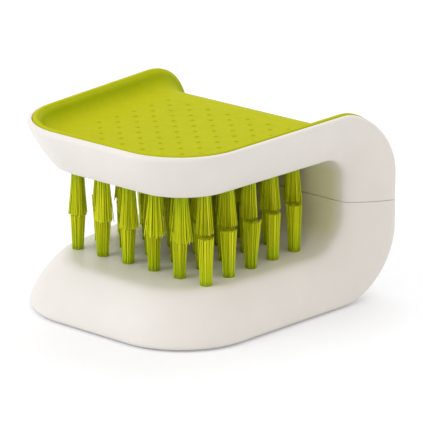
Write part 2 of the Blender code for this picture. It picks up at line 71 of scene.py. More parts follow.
logging.basicConfig(level=logging.INFO, format="%(message)s")
log = logging.getLogger("cutlery_brush")


# Meshes


class PieceBuilder:
    """Gathers grids of points, in millimetres, and welds them into one closed piece."""

    def __init__(self) -> None:
        """Start with no points and no faces."""
        self.points: list[Array] = []
        self.faces: list[Array] = []
        self.count = 0

    def add_grid(self, points: Array, round_rows: bool = False) -> None:
        """Add a grid of points and the quads between its neighbours.

        Args:
            points: Rows by columns by three.
            round_rows: True where each row closes on itself.
        """
        rows, columns = points.shape[:2]
        index = self.count + np.arange(rows * columns).reshape(rows, columns)
        if round_rows:
            index = np.concatenate([index, index[:, :1]], axis=1)
        quads = np.stack([index[:-1, :-1], index[:-1, 1:], index[1:, 1:], index[1:, :-1]], axis=2)
        self.points.append(points.reshape(-1, 3))
        self.faces.append(quads.reshape(-1, 4))
        self.count += rows * columns

    def mesh(self, name: str) -> Mesh:
        """Weld the grids, turn the faces outwards and shade them smooth.

        Args:
            name: The mesh's name.

        Returns:
            The finished mesh, in metres.
        """
        mesh = bpy.data.meshes.new(name)
        points = np.concatenate(self.points) * MM
        mesh.from_pydata(points.tolist(), [], np.concatenate(self.faces).tolist())
        work = bmesh.new()
        work.from_mesh(mesh)
        bmesh.ops.remove_doubles(work, verts=work.verts, dist=WELD * MM)
        bmesh.ops.dissolve_degenerate(work, edges=work.edges, dist=WELD * MM / 4)
        bmesh.ops.recalc_face_normals(work, faces=work.faces)
        work.to_mesh(mesh)
        work.free()
        mesh.shade_smooth()
        mesh.set_sharp_from_angle(angle=math.radians(SHARP_DEGREES))
        return mesh


def quarter_turn(steps: int) -> Array:
    """Angles from 0 to a right angle, in even steps."""
    return np.linspace(0, math.pi / 2, steps + 1)


def across(left: Array, right: Array, columns: int) -> Array:
    """Straight rows between two lines of points: each point is the weighted mean of its row's two ends."""
    share = np.linspace(0, 1, columns + 1)[None, :, None]
    return left[:, None] * (1 - share) + right[:, None] * share


def mirrored(points: Array) -> Array:
    """The same points on the other side of the plane X = 0."""
    return points * np.array([-1, 1, 1])


def ring_fill(ring: Array, columns: int) -> Array:
    """A grid that fills a ring which starts at the end of its left side and runs round by the front.

    The left side comes first, then the front's columns + 1 points, the right side and, backwards, the points
    of the end between them. Every inner row runs straight across.

    Args:
        ring: The ring's points.
        columns: How many steps the front and the end have.

    Returns:
        The grid, from the end row to the front row.
    """
    side = len(ring) // 2 - columns
    around = 2 * side + columns + 1
    left, right = ring[: side + 1], ring[around - side - 1 : around][::-1]
    grid = across(left, right, columns)
    grid[0, 1:-1] = ring[around:][::-1]
    grid[-1] = ring[side : side + columns + 1]
    return grid


def close_outline(s: Array, x: Array, start: float, radius: float, columns: int) -> Array:
    """Mirror the right side of an outline, and close it by a straight end with round corners.

    Args:
        s: How far along each point of the right side lies, up to the middle of its end corner.
        x: How far across each lies.
        start: How far along the end's corners begin.
        radius: Their radius.
        columns: How many steps the front and the end have.

    Returns:
        Two columns, along and across, from the left side's end round by the front and back.
    """
    share = np.linspace(-1, 1, columns + 1)
    end_x = -share[1:-1] * x[-1]
    aside = np.clip(np.abs(end_x) - x[-1] + radius * MID_CORNER, 0, None)
    end_s = start + np.sqrt(radius**2 - aside**2)
    all_s = np.concatenate([s[:0:-1], np.full(len(share), s[0]), s[1:], end_s])
    all_x = np.concatenate([-x[:0:-1], share * x[0], x[1:], end_x])
    return np.stack([all_s, all_x], axis=1)


def points_of(mesh: Mesh) -> Array:
    """Read a mesh's points.

    Args:
        mesh: The mesh, in metres.

    Returns:
        The points in millimetres, one row for each.
    """
    places = np.empty(len(mesh.vertices) * 3, np.float32)
    mesh.vertices.foreach_get("co", places)
    return places.reshape(-1, 3) / MM


def write(mesh: Mesh, label: str, values: Array) -> None:
    """Store a value for each point, for the finish to read."""
    mesh.attributes.new(label, "FLOAT", "POINT").data.foreach_set("value", values.astype(np.float32))


# Finishes


def shade(colour: Colour, factor: float) -> Colour:
    """The same colour, brighter or darker by a factor."""
    red, green, blue, _ = colour
    return (min(red * factor, 1.0), min(green * factor, 1.0), min(blue * factor, 1.0), 1.0)


def add_node(tree: bpy.types.NodeTree, kind: str, **values: float | Colour | Socket) -> bpy.types.Node:
    """Add a node and fill its sockets.

    Args:
        tree: What the node is added to.
        kind: The node's type, without the ShaderNode at its front.
        values: A number, a colour or another node's output for each socket, with _ for a space in its name.

    Returns:
        The new node.
    """
    node = tree.nodes.new("ShaderNode" + kind)
    for label, value in values.items():
        socket = node.inputs[label.replace("_", " ")]
        if isinstance(value, Socket):
            tree.links.new(value, socket)
        else:
            socket.default_value = value
    return node


@dataclass(frozen=True)
class Skin:
    """A surface's roughness, which goes from one value to another over soft patches, and its fine grain."""

    roughness: tuple[float, float]
    patch: float
    grain: float
    depth: float
    strength: float
    grain_detail: float = 1.0
    patch_detail: float = 3.0
    ior: float = 1.5
    specular: float = 0.5


class Bench:
    """A new material and short ways to add and join its nodes."""

    def __init__(self, name: str) -> None:
        """Make the material and keep its main shader.

        Args:
            name: The material's name.
        """
        self.material = bpy.data.materials.new(name)
        self.material.use_nodes = True
        self.tree = self.material.node_tree
        self.shader = self.tree.nodes["Principled BSDF"]
        self.place = add_node(self.tree, "TexCoord").outputs["Object"]

    def noise(self, grain: float, detail: float) -> Socket:
        """Soft noise about 0.5, by the size of a patch in millimetres and the number of finer layers."""
        node = add_node(self.tree, "TexNoise", Vector=self.place, Scale=1 / (grain * MM), Detail=detail)
        return node.outputs["Fac"]

    def attribute(self, name: str) -> Socket:
        """Read a value that each point of the mesh carries.

        Args:
            name: What the value is written under.

        Returns:
            The value.
        """
        node = add_node(self.tree, "Attribute")
        node.attribute_name = name
        return node.outputs["Fac"]

    def ramp(self, value: Socket, *stops: tuple[float, Colour]) -> Socket:
        """Colours laid along a value.

        Args:
            value: What chooses the colour.
            stops: Places from 0 to 1 and their colours.

        Returns:
            The chosen colour.
        """
        node = add_node(self.tree, "ValToRGB", Fac=value)
        bar = node.color_ramp
        while len(bar.elements) < len(stops):
            bar.elements.new(0.5)
        for element, (position, colour) in zip(bar.elements, stops):
            element.position = position
            element.color = colour
        return node.outputs["Color"]

    def mottle(self, noise: Socket, first: Colour, last: Colour) -> Socket:
        """One colour turning into another over the middle of a noise's range."""
        return self.ramp(noise, (NOISE_LOW, first), (NOISE_HIGH, last))

    def spread(self, noise: Socket, low: float, high: float) -> Socket:
        """The middle of a noise's range stretched from low to high."""
        ends = {"From_Min": NOISE_LOW, "From_Max": NOISE_HIGH, "To_Min": low, "To_Max": high}
        return add_node(self.tree, "MapRange", Value=noise, **ends).outputs["Result"]

    def multiply(self, colour: Socket, other: Socket) -> Socket:
        """Multiply two colours.

        Args:
            colour: The one.
            other: The other.

        Returns:
            Their product.
        """
        node = add_node(self.tree, "Mix")
        node.data_type = "RGBA"
        node.blend_type = "MULTIPLY"
        node.inputs["Factor"].default_value = 1.0
        self.tree.links.new(colour, node.inputs["A"])
        self.tree.links.new(other, node.inputs["B"])
        return node.outputs["Result"]

    def link(self, value: Socket, socket: str) -> None:
        """Lead a value to a socket of the main shader."""
        self.tree.links.new(value, self.shader.inputs[socket])

    def set(self, socket: str, value: float) -> None:
        """Set a number on the main shader's own socket."""
        self.shader.inputs[socket].default_value = value

    def coat(self, colour: Socket, skin: Skin) -> Material:
        """Give the material its colour, gloss and grain.

        Args:
            colour: The colour of each place.
            skin: The gloss and the grain.

        Returns:
            The finished material.
        """
        sheen = self.noise(skin.patch, skin.patch_detail)
        grain = self.noise(skin.grain, skin.grain_detail)
        relief = add_node(self.tree, "Bump", Height=grain, Strength=skin.strength, Distance=skin.depth * MM)
        self.link(colour, "Base Color")
        self.link(self.spread(sheen, *skin.roughness), "Roughness")
        self.link(relief.outputs["Normal"], "Normal")
        self.set("IOR", skin.ior)
        self.set("Specular IOR Level", skin.specular)
        return self.material


class Finish(ABC):
    """A kind of surface. Each kind works out its own colour, and its skin is laid over it."""

    skin: Skin

    @abstractmethod
    def colouring(self, bench: Bench) -> Socket:
        """Work out the colour.

        Args:
            bench: Where the nodes are added.

        Returns:
            The colour of each place.
        """

    def material(self, name: str) -> Material:
        """A new material of this finish and this name."""
        bench = Bench(name)
        return bench.coat(self.colouring(bench), self.skin)


@dataclass(frozen=True)
class SatinPlastic(Finish):
    """White moulded plastic: faint flow marks, a satin gloss, and painted shade, tinted green, behind the
    bristles.
    """

    colour: Colour = (0.85, 0.812, 0.757, 1.0)
    # Painted shade, darker and greener, that the bristles throw on the plastic deep in the mouth.
    bristle_shade_colour: Colour = (0.84, 0.84, 0.6, 1.0)
    flow: float = 16.0
    flow_detail: float = 2.0
    flow_shades: tuple[float, float] = (0.975, 1.02)
    skin: Skin = Skin(
        roughness=(0.33, 0.43), patch=5.0, grain=0.22, depth=0.012, strength=0.35, ior=1.48, specular=0.3
    )

    def colouring(self, bench: Bench) -> Socket:
        """Mark the white by the flow, and darken it and tint it green where the mesh carries painted bristle
        shade.

        Args:
            bench: Where the nodes are added.

        Returns:
            The colour of each place.
        """
        marks = [shade(self.colour, factor) for factor in self.flow_shades]
        white = bench.mottle(bench.noise(self.flow, self.flow_detail), *marks)
        # Painted shade, tinted green, laid over the white where the mesh carries it.
        bristle_shade_colour = bench.ramp(bench.attribute("painted_bristle_shade"), (0.0, WHITE), (1.0, self.bristle_shade_colour))
        return bench.multiply(white, bristle_shade_colour)


@dataclass(frozen=True)
class SoftGrip(Finish):
    """Green soft rubber: a matt, powdery skin, yellower where it is rubbed, with painted shade down its
    steep side, a painted highlight on the bead's top and painted shade round the foot of each pip.
    """

    # The deep green carries painted shade for the steep side; the rubbed green is the floor's worn colour
    # and the bead's painted highlight.
    deep: Colour = (0.41, 0.475, 0.001, 1.0)
    rubbed_and_lit: Colour = (0.525, 0.54, 0.002, 1.0)
    powder: Colour = (0.95, 0.95, 0.95, 1.0)
    # Painted shade round the foot of each pip.
    pip_foot_shade: Colour = (0.86, 0.86, 0.76, 1.0)
    powder_grain: float = 3.0
    powder_detail: float = 4.0
    skin: Skin = Skin(
        roughness=(0.54, 0.68), patch=1.2, grain=0.16, depth=0.02, strength=0.5, grain_detail=2.0,
        ior=1.45, specular=0.06,
    )

    def colouring(self, bench: Bench) -> Socket:
        """Dust the green with powder, set its wear and painted light by depth, and paint shade round the
        foot of each pip.

        Args:
            bench: Where the nodes are added.

        Returns:
            The colour of each place.
        """
        # Wear and painted light: the deep green with painted shade down the side, the rubbed green on the
        # floor and as a painted highlight on the bead's top.
        green = bench.ramp(bench.attribute("wear_and_shade"), (0.0, self.deep), (1.0, self.rubbed_and_lit))
        powder = bench.mottle(bench.noise(self.powder_grain, self.powder_detail), self.powder, WHITE)
        # Painted shade round the foot of each pip.
        painted_pip_shade = bench.ramp(bench.attribute("relief"), (0.0, WHITE), (1.0, self.pip_foot_shade))
        return bench.multiply(bench.multiply(green, powder), painted_pip_shade)


@dataclass(frozen=True)
class DyedNylon(Finish):
    """Green nylon filaments: each has its own tone, with painted shade towards its root and on its cut end.
    """

    dark: Colour = (0.40, 0.47, 0.001, 1.0)
    middle: Colour = (0.70, 0.76, 0.003, 1.0)
    light: Colour = (0.90, 0.92, 0.03, 1.0)
    # Painted shade towards the roots, where the tuft shades itself, fading out by clear_from.
    root: Colour = (0.47, 0.54, 0.4, 1.0)
    root_shade_end: float = 0.05
    root_shade_lift: float = 1.6
    root_shade_fade_end: float = 0.18
    clear_from: float = 0.6
    clear_to: float = 0.985
    # Painted shade on the cut ends.
    cut: Colour = (0.42, 0.42, 0.3, 1.0)
    skin: Skin = Skin(
        roughness=(0.39, 0.51), patch=0.8, grain=0.1, depth=0.01, strength=0.3, ior=1.53, specular=0.15
    )

    def colouring(self, bench: Bench) -> Socket:
        """Give each filament its tone, and lay painted shade along it: dark at the root, lighter up the
        foot, dark again on the cut end.

        Args:
            bench: Where the nodes are added.

        Returns:
            The colour of each place.
        """
        tone = bench.attribute("strand_tone")
        strands = bench.ramp(tone, (0.0, self.dark), (0.5, self.middle), (1.0, self.light))
        # Painted shade along each filament: dark at the root, lighter up the foot, none in the middle, dark
        # again on the cut end.
        foot = ((self.root_shade_end, self.root), (self.root_shade_fade_end, shade(self.root, self.root_shade_lift)))
        clear = ((self.clear_from, WHITE), (self.clear_to, WHITE))
        along = bench.ramp(bench.attribute("strand_reach"), *foot, *clear, (1.0, self.cut))
        return bench.multiply(strands, along)


@dataclass(frozen=True)
class PlatedSteel(Finish):
    """Zinc-plated screw steel: a grey metal, dull in patches."""

    colour: Colour = (0.60, 0.60, 0.58, 1.0)
    dulled: float = 0.8
    skin: Skin = Skin(
        roughness=(0.46, 0.28), patch=0.9, grain=0.15, depth=0.01, strength=0.3, grain_detail=2.0,
        patch_detail=5.0,
    )

    def colouring(self, bench: Bench) -> Socket:
        """Dull the metal in the same patches that roughen it.

        Args:
            bench: Where the nodes are added.

        Returns:
            The colour of each place.
        """
        bench.set("Metallic", 1.0)
        patina = bench.noise(self.skin.patch, self.skin.patch_detail)
        return bench.mottle(patina, shade(self.colour, self.dulled), self.colour)


# Pieces


def place(name: str, data: bpy.types.ID) -> bpy.types.Object:
    """Add an object to the scene.

    Args:
        name: The object's name.
        data: Its mesh, light or camera.

    Returns:
        The object.
    """
    thing = bpy.data.objects.new(name, data)
    bpy.context.scene.collection.objects.link(thing)
    return thing


def dress(mesh: Mesh, material: Material, *nodes: str) -> None:
    """Make a piece that rides on the brush and stands for some of its solids.

    Args:
        mesh: The piece's mesh, under its name and in the model's own place.
        material: Its finish.
        nodes: The solids that it stands for.
    """
    mesh.materials.append(material)
    piece = place(mesh.name, mesh)
    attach(piece, "root")
    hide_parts(*nodes)
    log.info("%s: %d points, %d faces", piece.name, len(mesh.vertices), len(mesh.polygons))


# The body's shape


@dataclass(frozen=True)
class Taper:
    """A half width that grows evenly from a front line to a back line."""

    front_y: float
    front: float
    back_y: float
    back: float

    def at(self, y: Array) -> Array:
        """The half width at each place from front to back."""
        return self.front + (self.back - self.front) * (y - self.front_y) / (self.back_y - self.front_y)


class Side(Enum):
    """The two arms of the C, by the direction that their outer side faces."""

    UPPER = 1
    LOWER = -1


@dataclass(frozen=True)
class Spine:
    """Where the spine stands, and its section at the seam."""

    wall_y: float = 30.9
    back_y: float = 45.6
    back_half: float = 46.5
    swell: float = 1.2
    edge: float = 2.5
    brim: float = 1.7
    seam_z: float = 30.85
    seam_gap: float = 0.12
    seam_round: float = 0.22


@dataclass(frozen=True)
class Fineness:
    """How many steps the curves have."""

    front: int = 40
    corner: int = 30
    arm: int = 20
    bend: int = 40
    back: int = 8
    brim: int = 8
    wall: int = 24
    edge: int = 8
    seam: int = 3
    slope: int = 8


@dataclass(frozen=True)
class Arm:
    """One arm of the C, from its tip to the seam: its lining, its outline and the wall between them."""

    side: Side
    outer: Taper
    corner: float
    inner: Taper
    inner_corner: float
    fillet: float
    radius: float
    inner_z: float
    outer_z: float
    swell: float
    edge: float
    brim: float
    spine: Spine = Spine()
    steps: Fineness = Fineness()

    @property
    def seam_end(self) -> float:
        """The height at which the wall gives way to the seam's own rounding."""
        return self.spine.seam_z + self.side.value * (self.spine.seam_gap / 2 + self.spine.seam_round)

    def stations(self) -> Array:
        """Sections along the right side of the arm, from its front corner to the end of its bend.

        The corner turns through a quarter circle, the arm is straight, and the bend turns again. A point of
        the lining and a point of the outline share each station.

        Returns:
            Ten rows: inner y, z and half width, outer y, z and half width, the outward normal's turn, the
            wall's exponent, the radius of the outer edge and the reach of the soft inner brim.
        """
        out, back_y, wall_y = self.side.value, self.spine.back_y, self.spine.wall_y
        turn = quarter_turn(self.steps.corner)
        inner_y = self.inner.front_y + self.inner_corner * (1 - np.cos(turn))
        inner_half = self.inner.at(inner_y) - self.inner_corner * (1 - np.sin(turn))
        outer_y = self.outer.front_y + self.corner * (1 - np.cos(turn))
        outer_half = self.outer.at(outer_y) - self.corner * (1 - np.sin(turn))
        arm_inner = np.linspace(inner_y[-1], wall_y - self.fillet, self.steps.arm + 1)[1:-1]
        arm_outer = np.linspace(outer_y[-1], back_y - self.radius, self.steps.arm + 1)[1:-1]
        bend = quarter_turn(self.steps.bend)
        bend_inner = wall_y - self.fillet * (1 - np.sin(bend))
        bend_outer = back_y - self.radius * (1 - np.sin(bend))
        level = np.zeros(len(turn) + len(arm_inner))
        rise = np.concatenate([level, 1 - np.cos(bend)])
        swing = np.concatenate([level, np.sin(bend) ** 2])
        normal = np.concatenate([level, bend])
        shoulder = self.outer.at(back_y - self.radius)
        bend_half = shoulder + (self.spine.back_half - shoulder) * np.sin(bend) ** 2
        return np.array([
            np.concatenate([inner_y, arm_inner, bend_inner]),
            self.inner_z - out * self.fillet * rise,
            np.concatenate([inner_half, self.inner.at(arm_inner), self.inner.at(bend_inner)]),
            np.concatenate([outer_y, arm_outer, bend_outer]),
            self.outer_z - out * self.radius * rise,
            np.concatenate([outer_half, self.outer.at(arm_outer), bend_half]),
            normal if self.side is Side.UPPER else math.pi - normal,
            self.swell + (self.spine.swell - self.swell) * swing,
            self.edge + (self.spine.edge - self.edge) * swing,
            self.brim + (self.spine.brim - self.brim) * swing,
        ])

    def right_wall(self) -> Array:
        """The wall's right side, as stations by steps from the lining to the end of the rounded edge.

        A section is a superellipse: its reach is sin q to the power 2 / n and its rise is 1 less cos q to
        that power. A cubic softens its inner brim, from the same distance inside the brim as outside it, and
        a quarter circle rounds it into the outer surface. Behind the bend, each line of the wall drops
        straight to the seam.

        Returns:
            A grid of points.
        """
        iy, iz, iw, oy, oz, ow, normal, swell, edge, brim = self.stations()[:, :, None]
        out_y, out_z = np.sin(normal), np.cos(normal)
        height = (oy - iy) * out_y + (oz - iz) * out_z
        slide = (oy - iy) * out_z - (oz - iz) * out_y
        spread = np.hypot(ow - iw, slide)
        near = brim / spread
        start = np.arcsin(near ** (swell / 2))
        quarter = start + (math.pi / 2 - start) * np.linspace(0, 1, self.steps.wall + 1)[None]
        curl = quarter_turn(self.steps.edge)[None, 1:]
        joined = 1 - (1 - near**swell) ** (1 / swell)
        steepness = near ** (swell - 1) * (1 - near**swell) ** (1 / swell - 1)
        t = np.linspace(0, 1, self.steps.brim + 1)[None, :-1]
        brim_rise = (3 - 2 * t) * t**2 * joined + (t - 1) * t**2 * 2 * near * steepness
        wall_rise = 1 - np.clip(np.cos(quarter), 0, 1) ** (2 / swell)
        rise = np.concatenate([brim_rise, wall_rise], axis=1) * (1 - edge / height)
        rise = np.concatenate([rise, 1 - edge / height * (1 - np.sin(curl))], axis=1)
        reach = np.concatenate([(2 * t - 1) * near, np.sin(quarter) ** (2 / swell)], axis=1)
        reach = np.concatenate([reach, 1 - edge / spread * (1 - np.cos(curl))], axis=1)
        x = iw + (ow - iw) * reach
        y = iy + out_y * height * rise + out_z * slide * reach
        z = iz + out_z * height * rise - out_y * slide * reach
        wall = np.stack([x, y, z], axis=2)
        share = np.linspace(0, 1, self.steps.back + 1)[1:, None]
        drop = np.repeat(wall[-1:], self.steps.back, axis=0)
        drop[:, :, 2] += (self.seam_end - drop[:, :, 2]) * share
        return np.concatenate([wall, drop])

    def wall(self) -> Array:
        """Join the right wall, its mirror and the straight front between them.

        Returns:
            A grid of points, from the seam on the left round the front to the seam on the right.
        """
        right = self.right_wall()
        left = mirrored(right)
        front = across(left[0], right[0], self.steps.front).transpose(1, 0, 2)
        return np.concatenate([left[:0:-1], front, right[1:]])

    def lining(self, wall: Array) -> Array:
        """The lining between the wall's two inner lines, as rows from the seam to the front."""
        side = len(wall) // 2 - self.steps.front // 2
        return across(wall[: side + 1, 0], wall[::-1][: side + 1, 0], self.steps.front)

    def seam_face(self, wall: Array, builder: PieceBuilder) -> None:
        """Round the seam's edge inwards by a quarter circle and close it with a flat face.

        Args:
            wall: The whole wall.
            builder: What the surfaces are added to.
        """
        columns, left, right = self.steps.front, wall[0], wall[-1]
        inner = across(left[:1], right[:1], columns)[0]
        outer = across(left[-1:], right[-1:], columns)[0]
        ring = np.concatenate([left[:0:-1], inner, right[1:], outer[-2:0:-1]])
        tangent = np.roll(ring, -1, axis=0) - np.roll(ring, 1, axis=0)
        inward = np.stack([-tangent[:, 1], tangent[:, 0]], axis=1)
        inward /= np.linalg.norm(inward, axis=1)[:, None]
        turn = quarter_turn(self.steps.seam)[:, None]
        band = np.repeat(ring[None], len(turn), axis=0)
        band[:, :, :2] += inward * (self.spine.seam_round * (1 - np.cos(turn)))[:, :, None]
        band[:, :, 2] -= self.side.value * self.spine.seam_round * np.sin(turn)
        builder.add_grid(band, round_rows=True)
        builder.add_grid(ring_fill(band[-1], columns))

    def shell(self, builder: PieceBuilder) -> Array:
        """Add the wall, the lining and the seam's face to a piece.

        Args:
            builder: What the surfaces are added to.

        Returns:
            The whole wall.
        """
        wall = self.wall()
        builder.add_grid(wall)
        builder.add_grid(self.lining(wall))
        self.seam_face(wall, builder)
        return wall

    def paint_bristle_shade(self, mesh: Mesh) -> None:
        """Write how much painted shade, tinted green, the bristles throw on each point: more towards the
        spine, inwards and off the bed.

        Args:
            mesh: The shell's mesh.
        """
        x, y, z = points_of(mesh).T
        along = np.clip(y / BRISTLE_SHADE_REACH_Y, 0, 1)
        inwards = np.clip((self.inner.at(y) - np.abs(x)) / BRISTLE_SHADE_REACH_X, 0, 1)
        off_bed = np.clip(self.side.value * (self.inner_z - z) / BRISTLE_SHADE_REACH_Z, 0, 1)
        # Painted shade, tinted green: none on the bed or the underside, growing up the inner walls and
        # towards the spine.
        write(mesh, "painted_bristle_shade", along * inwards * off_bed * (y < self.spine.wall_y + self.brim))


UPPER_ARM = Arm(
    side=Side.UPPER,
    outer=Taper(front_y=-45.5, front=37.7, back_y=24.9, back=41.2),
    inner=Taper(front_y=-37.0, front=30.4, back_y=30.9, back=36.2),
    corner=22.2, inner_corner=15.7, fillet=7.7, radius=20.7,
    inner_z=45.8, outer_z=60.6, swell=1.16, edge=1.2, brim=0.5,
)
BASE_ARM = Arm(
    side=Side.LOWER,
    outer=Taper(front_y=-46.0, front=37.9, back_y=23.6, back=44.3),
    inner=Taper(front_y=-35.2, front=29.9, back_y=30.9, back=36.2),
    corner=23.7, inner_corner=18.7, fillet=12.1, radius=22.0,
    inner_z=15.9, outer_z=0.6, swell=1.34, edge=1.2, brim=2.2,
)


@dataclass(frozen=True)
class Tray:
    """The dished tray that holds the grip, drawn on the upper arm's outer surface.

    A place on that surface is its length from the front, over the shoulder and down the spine, and its x.
    The tray's rings lie inset from the rim's line.
    """

    arm: Arm = UPPER_ARM
    rim: float = 1.8
    back_half: float = 43.5
    fall: float = 5.9
    fillet: float = 5.2
    end_above_seam: float = 4.0
    end_corner: float = 14.0

    @property
    def level(self) -> float:
        """The length of the level stretch."""
        return self.arm.outer.back_y - self.arm.outer.front_y

    @property
    def drop(self) -> float:
        """The length at which the upright stretch begins."""
        return self.level + self.arm.radius * math.pi / 2

    @property
    def arc_start(self) -> float:
        """The length at which the end's round corners begin, the same for every inset."""
        upright = self.arm.outer_z - self.arm.radius - self.arm.spine.seam_z - self.end_above_seam
        return self.drop + upright - self.end_corner

    def turn(self, s: Array) -> Array:
        """How far the surface has turned over at a length."""
        return np.clip((s - self.level) / self.arm.radius, 0, math.pi / 2)

    def half(self, s: Array) -> Array:
        """The half width that the tray follows at a length."""
        level = self.arm.outer.at(self.arm.outer.front_y + np.minimum(s, self.level))
        return level + (self.back_half - self.arm.outer.back) * np.sin(self.turn(s)) ** 2

    def point(self, s: Array, x: Array, depth: Array) -> Array:
        """The point at a place, sunk by a depth along the surface's normal.

        Args:
            s: Lengths from the front.
            x: Places across.
            depth: How deep each point lies.

        Returns:
            The points.
        """
        turn, radius = self.turn(s), self.arm.radius
        y = self.arm.outer.front_y + np.minimum(s, self.level) + radius * np.sin(turn)
        z = self.arm.outer_z - radius * (1 - np.cos(turn)) - np.maximum(s - self.drop, 0)
        return np.stack([x, y - depth * np.sin(turn), z - depth * np.cos(turn)], axis=-1)

    def depth_of(self, points: Array) -> Array:
        """How deep points lie under the surface: from the top, from the shoulder's axis or from the back.

        Args:
            points: Points inside the arm, one row for each.

        Returns:
            Their depths.
        """
        arm = self.arm
        behind, above = points[:, 1] - arm.outer.back_y, points[:, 2] - arm.outer_z + arm.radius
        bent = arm.radius - np.hypot(behind, above)
        return np.where(behind < 0, arm.radius - above, np.where(above < 0, arm.radius - behind, bent))

    def lengths_of(self, points: Array) -> Array:
        """How far from the front points of the surface lie: by y, by the shoulder's turn or by the height.

        Args:
            points: Points on the outer surface, one row for each.

        Returns:
            Their lengths.
        """
        up = points[:, 2] - self.arm.outer_z + self.arm.radius
        turn = np.clip(np.arctan2(points[:, 1] - self.arm.outer.back_y, up), 0, math.pi / 2)
        along = points[:, 1] - self.arm.outer.front_y
        bent = np.where(up < 0, self.drop - up, self.level + self.arm.radius * turn)
        return np.where(along < self.level, along, bent)

    def side_lengths(self, wall: Array) -> Array:
        """The lengths of the wall's outer edge at each station behind the right front corner."""
        steps = self.arm.steps
        return self.lengths_of(wall[len(wall) // 2 + steps.front // 2 + steps.corner :, -1])

    def ring(self, inset: float, lengths: Array) -> Array:
        """One ring of the tray's outline, as lengths and x.

        The front corners turn about fixed centres. Past where the end's corners begin, the side's lengths
        are drawn together to reach the middle of the corner, and the end takes the rest of the turn.

        Args:
            inset: How far the ring lies from the rim's line.
            lengths: The side's lengths.

        Returns:
            Two columns, from the left side's end round by the front and back.
        """
        steps, radius = self.arm.steps, self.arm.corner - inset
        turn = quarter_turn(steps.corner)
        corner_s = inset + radius * (1 - np.cos(turn))
        corner_x = self.half(corner_s) - inset - radius * (1 - np.sin(turn))
        end_radius = self.end_corner + self.rim - inset
        past_end = (lengths - self.arc_start) / (lengths[-1] - self.arc_start)
        past = np.clip(past_end, 0, 1) * end_radius * MID_CORNER
        s = np.minimum(lengths, self.arc_start) + past
        s[0] = self.arm.corner
        x = self.half(s) - inset - end_radius + np.sqrt(end_radius**2 - past**2)
        side_s = np.concatenate([corner_s, s[1:]])
        side_x = np.concatenate([corner_x, x[1:]])
        return close_outline(side_s, side_x, self.arc_start, end_radius, steps.front)

    def rings(self, profile: Array, lengths: Array) -> Array:
        """Rings sunk to the depths of a profile, which has one row of inset and depth for each."""
        flat = np.stack([self.ring(inset, lengths) for inset in profile[:, 0]])
        return self.point(flat[:, :, 0], flat[:, :, 1], profile[:, 1:])

    def slope(self, first: float, last: float, sink: float) -> Array:
        """The tray's side in profile: a parabola that starts steep and ends level with the floor.

        Args:
            first: The inset where it starts.
            last: The inset where it is level.
            sink: The depth where it starts.

        Returns:
            Insets and depths.
        """
        share = np.linspace(0, 1, self.arm.steps.slope + 1)
        depth = sink + self.fall * (1 - (1 - share) ** 2)
        return np.stack([first + (last - first) * share, depth], axis=1)


@dataclass(frozen=True)
class UpperHalf:
    """The body's upper half: underside, wall, rim and the tray that the grip fills.

    The lip is the tray's rounded upper edge, as steps outwards and down from its foot.
    """

    tray: Tray = Tray()
    clearance: float = 0.3
    grip_thickness: float = 1.4
    land_steps: int = 6
    lip: tuple[tuple[float, float], ...] = ((-0.2, 0.0), (-0.1, 0.027), (-0.03, 0.1), (0.0, 0.2))

    def mesh(self) -> Mesh:
        """Build the closed shell.

        Returns:
            The mesh, with the painted bristle shade that its finish reads.
        """
        arm, tray = self.tray.arm, self.tray
        builder = PieceBuilder()
        wall = arm.shell(builder)
        lengths = tray.side_lengths(wall)
        outer = wall[:, -1]
        seam = across(outer[-1:], outer[:1], arm.steps.front)[0, 1:-1]
        frame_ring = np.concatenate([outer, seam])
        foot = tray.rim - self.clearance
        edge = np.array(self.lip) + [foot, 0]
        inner = tray.ring(edge[0, 0], lengths)
        flat = np.stack([tray.lengths_of(frame_ring), frame_ring[:, 0]], axis=1)
        share = np.linspace(0, 1, self.land_steps + 1)[1:, None, None]
        land = flat[None] * (1 - share) + inner[None] * share
        land = tray.point(land[:, :, 0], land[:, :, 1], np.zeros(land.shape[:2]))
        builder.add_grid(np.concatenate([frame_ring[None], land]), round_rows=True)
        sink = self.grip_thickness + self.clearance
        floor = tray.slope(tray.rim, tray.rim + tray.fillet, sink)
        rings = tray.rings(np.concatenate([edge, [[foot, sink]], floor]), lengths)
        builder.add_grid(rings, round_rows=True)
        builder.add_grid(ring_fill(rings[-1], arm.steps.front))
        mesh = builder.mesh("upper_shell")
        arm.paint_bristle_shade(mesh)
        return mesh

    def build(self, plastic: SatinPlastic) -> None:
        """Dress the upper body in this plastic."""
        dress(self.mesh(), plastic.material("upper_plastic"), "upper_body")


